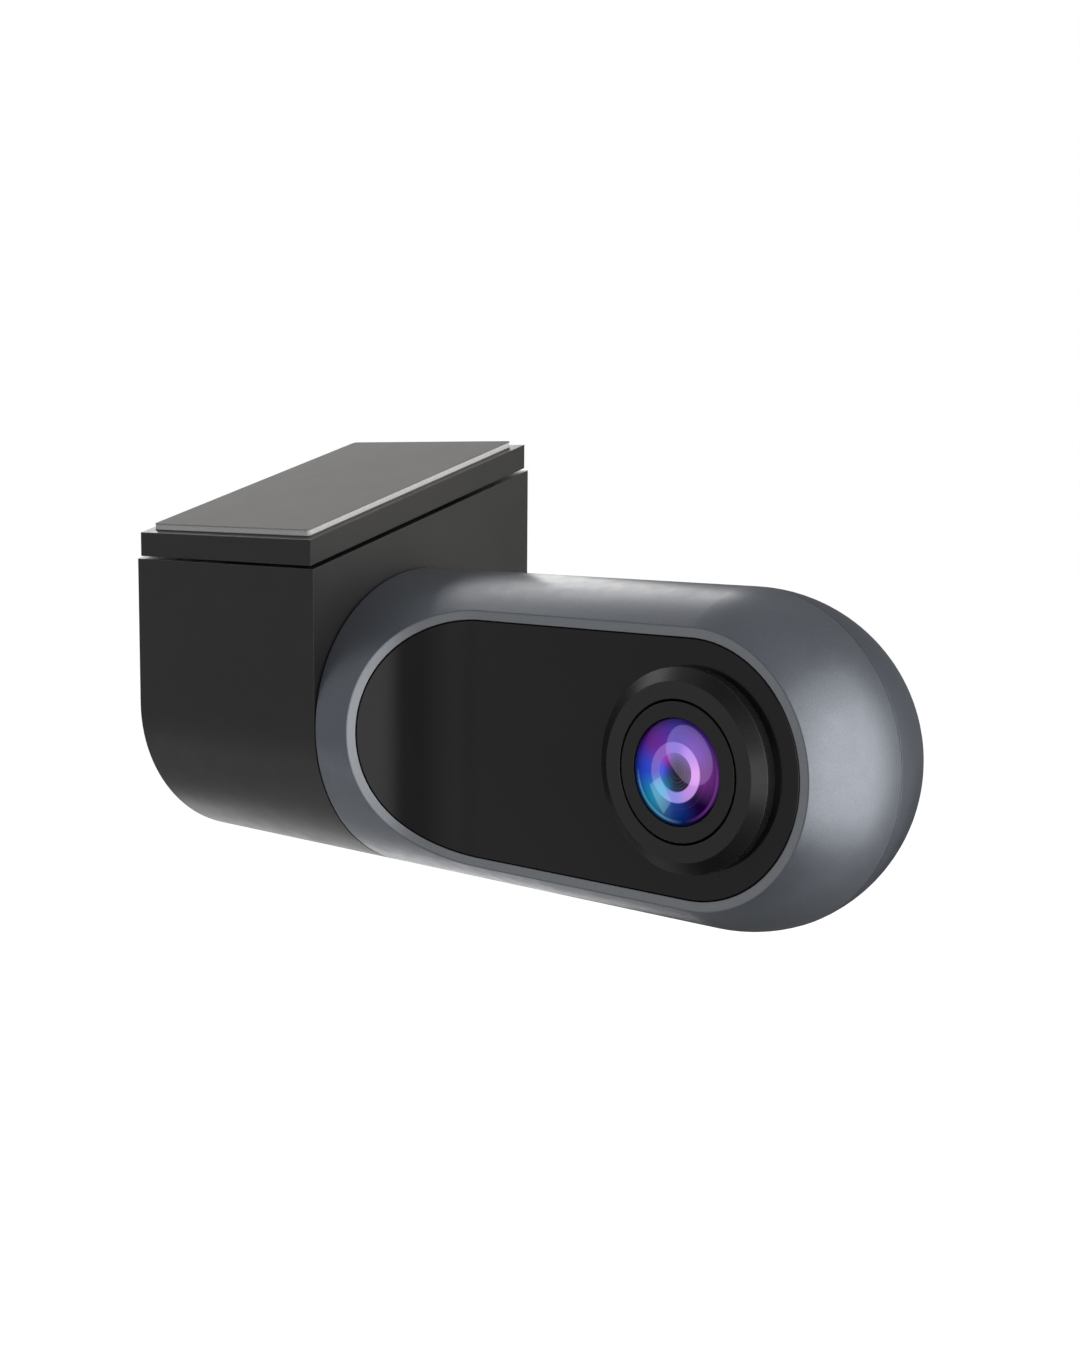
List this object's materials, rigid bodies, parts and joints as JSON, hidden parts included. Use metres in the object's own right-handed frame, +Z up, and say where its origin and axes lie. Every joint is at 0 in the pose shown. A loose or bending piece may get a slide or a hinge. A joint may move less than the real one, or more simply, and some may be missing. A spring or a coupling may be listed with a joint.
{
  "type": "dash camera",
  "caption": "Windscreen dash camera: a round-ended camera pod tilts on a hollow hinge beside a slanted bracket block that hooks under a stick-on mount plate.",
  "frame": {"origin": "middle of the adhesive pad's outer face, where the camera is stuck to the windscreen", "axes": "+Z up, lens looks along -Y (to the front of the car), pod runs from the bracket along +X"},
  "size_m": [0.0948, 0.034, 0.0487],
  "materials": {
    "foam": "matt foam tape with a paler cut edge",
    "mount_black": "fine satin black",
    "block_black": "satin black",
    "cap_black": "fine spark texture",
    "shell_front": "satin slate blue-grey lacquer on plastic",
    "shell_rear": "satin slate blue-grey lacquer on plastic",
    "panel_gloss": "piano black",
    "bezel_black": "fine anodised look",
    "ring_black": "satin black",
    "barrel_black": "black anodised",
    "glass_front": "coated, violet to blue reflection",
    "glass_second": "coated, blue reflection",
    "glass_rear": "coated, pale green reflection",
    "filter_glass": "infrared filter",
    "baffle_black": "flat black",
    "inner_plastic": "as moulded",
    "holder_black": "as moulded",
    "bearing_plastic": "natural acetal",
    "screw_steel": "nickel plated",
    "spring_steel": "bright spring steel",
    "shaft_metal": "turned",
    "board_green": "solder mask",
    "chip_black": "moulded resin",
    "heat_aluminium": "brushed",
    "can_silver": "stamped shield",
    "capacitor_sleeve": "shrink sleeve",
    "speaker_black": "frame and cone",
    "contact_gold": "gold plated",
    "tongue_black": "as moulded",
    "inlet_steel": "drawn shell",
    "lead_red": "insulated leads",
    "link_cream": "connector housing",
    "light_pipe": "frosted light pipe",
    "key_grey": "satin",
    "card_black": "as moulded",
    "antenna_copper": "flex film"
  },
  "bodies": {
    "base": {"adhesive_pad": "foam", "mount_plate": "mount_black"},
    "bracket": {"bracket_block": "block_black", "end_cap": "cap_black", "cap_screws": "screw_steel", "hinge_bush": "bearing_plastic", "power_board": "board_green", "power_inlet": "inlet_steel", "inlet_tongue": "tongue_black", "inlet_contacts": "contact_gold", "power_parts": "chip_black", "power_lead": "lead_red"},
    "pod": {"front_shell": "shell_front", "rear_shell": "shell_rear", "front_panel": "panel_gloss", "end_plate": "inner_plastic", "hinge_shaft": "shaft_metal", "hinge_screws": "screw_steel", "friction_washer": "bearing_plastic", "spring_washer": "spring_steel", "hinge_clip": "spring_steel", "lens_bezel": "bezel_black", "lens_ring": "ring_black", "lens_barrel": "barrel_black", "front_glass": "glass_front", "iris_ring": "baffle_black", "second_glass": "glass_second", "lens_spacer": "baffle_black", "rear_glass": "glass_rear", "lens_holder": "holder_black", "ir_filter": "filter_glass", "image_sensor": "chip_black", "sensor_board": "board_green", "board_link": "link_cream", "main_board": "board_green", "board_screws": "screw_steel", "shell_screws": "screw_steel", "processor": "chip_black", "memory_chips": "chip_black", "heat_plate": "heat_aluminium", "capacitors": "capacitor_sleeve", "speaker": "speaker_black", "microphone": "contact_gold", "reset_switch": "chip_black", "button_switches": "chip_black", "status_light": "light_pipe", "card_socket": "can_silver", "antenna": "antenna_copper"},
    "record_key": {"record_button": "key_grey"},
    "mode_key": {"mode_button": "key_grey"},
    "card": {"memory_card": "card_black"}
  },
  "joints": [
    {"name": "quick_release", "type": "slide", "parent": "base", "child": "bracket", "axis": [1, 0, 0], "range_m": [0, 0.006]},
    {"name": "pod_tilt", "type": "hinge", "parent": "bracket", "child": "pod", "pos_m": [0.0159, 0, -0.02657], "axis": [1, 0, 0], "range_deg": [-60, 60]},
    {"name": "record_press", "type": "slide", "parent": "pod", "child": "record_key", "axis": [0, -1, 0], "range_m": [0, 0.0005], "stiffness_N_per_m": 1500, "springref_m": -0.0002},
    {"name": "mode_press", "type": "slide", "parent": "pod", "child": "mode_key", "axis": [0, -1, 0], "range_m": [0, 0.0005], "stiffness_N_per_m": 1500, "springref_m": -0.0002},
    {"name": "card_slide", "type": "slide", "parent": "pod", "child": "card", "axis": [0, 0, -1], "range_m": [0, 0.012]}
  ]
}
